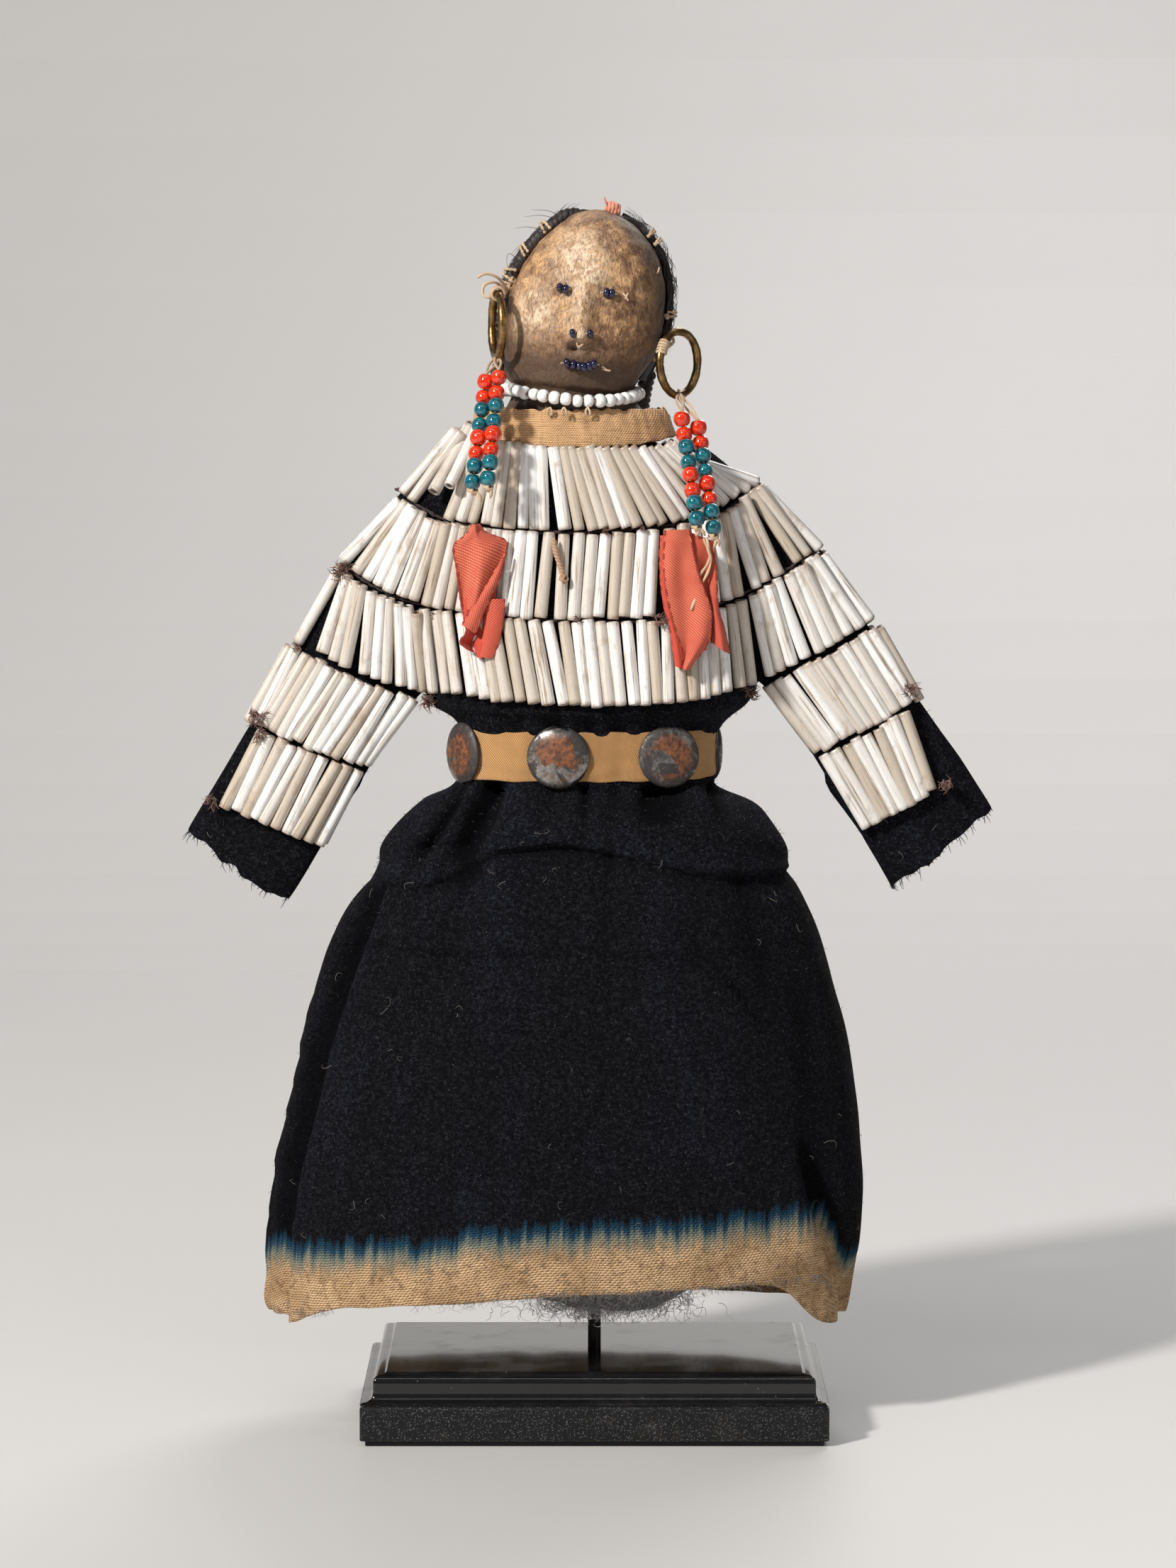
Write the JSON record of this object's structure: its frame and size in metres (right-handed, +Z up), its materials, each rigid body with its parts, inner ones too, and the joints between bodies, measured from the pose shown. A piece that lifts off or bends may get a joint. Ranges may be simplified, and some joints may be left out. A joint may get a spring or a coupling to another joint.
{
  "type": "beaded hide doll on stand",
  "caption": "Hide doll in a dark wool dress covered with rows of white tube beads, with a disc belt, hoop earrings and bead drops, held upright by a rod in a black moulded base.",
  "frame": {"origin": "centre of the underside of the stand's pad", "axes": "+Z up, the doll faces -Y, +X is on the right of someone who looks at its front"},
  "size_m": [0.238, 0.082, 0.3511],
  "materials": {
    "black_lacquer": "gloss",
    "black_felt": "matt",
    "black_steel": "satin",
    "grey_fleece": "matt",
    "smoked_hide": "satin",
    "indigo_wool": "matt",
    "tan_muslin": "matt",
    "ochre_twill": "matt",
    "rusted_tin": "tarnished",
    "white_glass": "satin",
    "chalk_white": "satin",
    "aged_brass": "tarnished",
    "red_glass": "gloss",
    "teal_glass": "gloss",
    "cobalt_glass": "gloss",
    "coral_silk": "satin",
    "dark_hair": "satin"
  },
  "bodies": {
    "root": {"belt": "ochre_twill", "belt_disc_1": "rusted_tin", "belt_disc_2": "rusted_tin", "belt_disc_3": "rusted_tin", "belt_disc_4": "rusted_tin", "belt_disc_5": "rusted_tin", "belt_disc_6": "rusted_tin", "crown_tie": "coral_silk", "dress": "indigo_wool", "hair_cap": "dark_hair", "hide_body": "smoked_hide", "left_braid": "dark_hair", "left_drop_inner_red_1": "red_glass", "left_drop_inner_red_2": "red_glass", "left_drop_inner_teal_1": "teal_glass", "left_drop_inner_teal_2": "teal_glass", "left_drop_outer_red_1": "red_glass", "left_drop_outer_red_2": "red_glass", "left_drop_outer_teal_1": "teal_glass", "left_drop_outer_teal_2": "teal_glass", "left_earring": "aged_brass", "left_eye_beads": "cobalt_glass", "left_nostril_bead": "cobalt_glass", "left_ribbon": "coral_silk", "left_sleeve_row_4_back": "white_glass", "left_sleeve_row_4_front": "white_glass", "left_sleeve_row_5_back": "white_glass", "left_sleeve_row_5_front": "white_glass", "mouth_beads": "cobalt_glass", "neck_band": "tan_muslin", "necklace": "chalk_white", "right_braid": "dark_hair", "right_drop_inner_red_1": "red_glass", "right_drop_inner_red_2": "red_glass", "right_drop_inner_teal_1": "teal_glass", "right_drop_inner_teal_2": "teal_glass", "right_drop_outer_red_1": "red_glass", "right_drop_outer_red_2": "red_glass", "right_drop_outer_teal_1": "teal_glass", "right_drop_outer_teal_2": "teal_glass", "right_earring": "aged_brass", "right_eye_beads": "cobalt_glass", "right_nostril_bead": "cobalt_glass", "right_ribbon": "coral_silk", "right_sleeve_row_4_back": "white_glass", "right_sleeve_row_4_front": "white_glass", "right_sleeve_row_5_back": "white_glass", "right_sleeve_row_5_front": "white_glass", "skirt_stuffing": "grey_fleece", "stand_base": "black_lacquer", "stand_pad": "black_felt", "stand_rod": "black_steel", "tube_row_1_back": "white_glass", "tube_row_1_front": "white_glass", "tube_row_2_back": "white_glass", "tube_row_2_front": "white_glass", "tube_row_3_back": "white_glass", "tube_row_3_front": "white_glass"}
  },
  "joints": []
}
